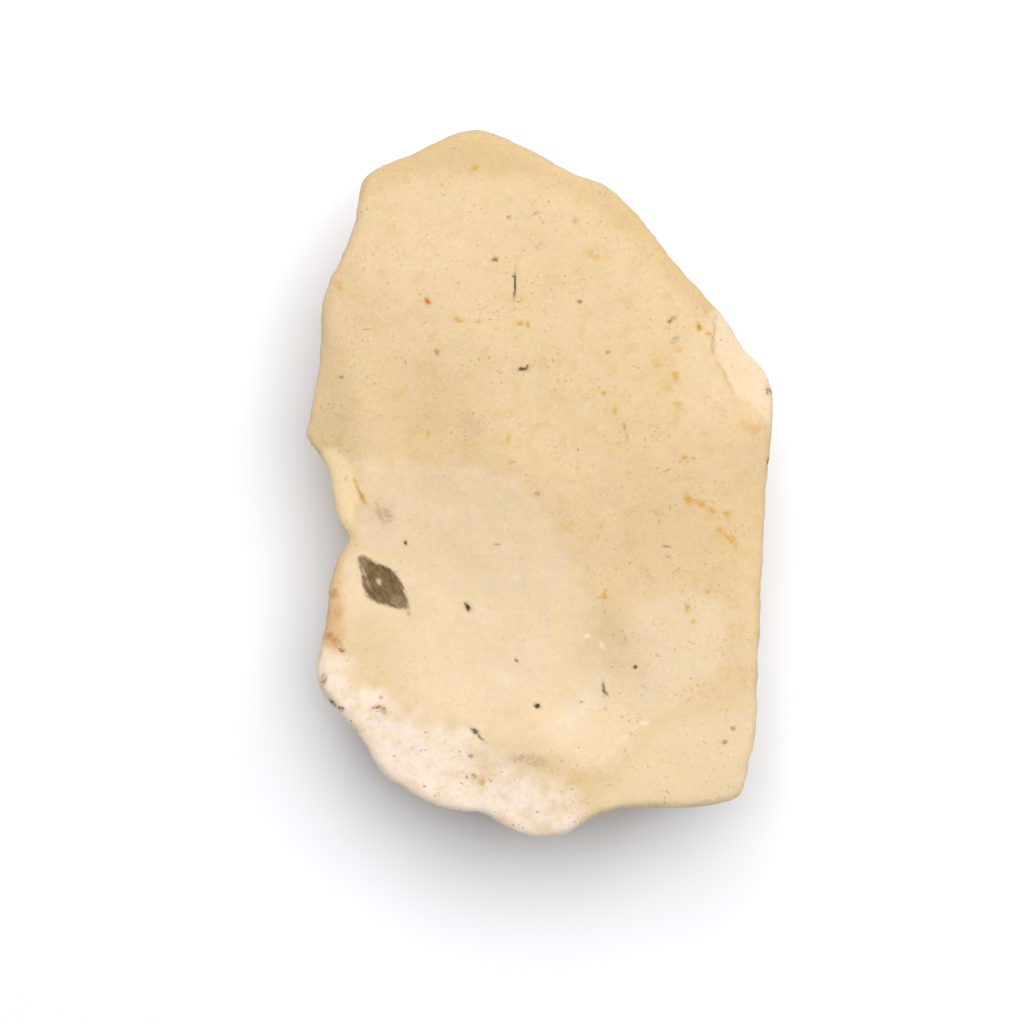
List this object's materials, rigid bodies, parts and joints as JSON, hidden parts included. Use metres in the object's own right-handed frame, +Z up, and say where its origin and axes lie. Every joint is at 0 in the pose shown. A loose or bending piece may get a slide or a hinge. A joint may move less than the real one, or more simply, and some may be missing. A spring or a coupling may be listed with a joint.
{
  "type": "natural glass stone",
  "caption": "Wind-worn flake of milky pale yellow desert glass, broad and slab-like with shallow scars, worn edges and a small flat spot to rest on",
  "frame": {"origin": "Under the middle of the stone's bounding box, on the surface that it rests on", "axes": "+Z points up, away from the surface that the stone rests on. +Y runs along its length towards its narrower end. +X runs across it, away from the side with the notch."},
  "size_m": [0.039, 0.059, 0.015],
  "materials": {
    "desert_glass": "satin"
  },
  "bodies": {
    "root": {"desert_glass": "desert_glass"}
  },
  "joints": []
}
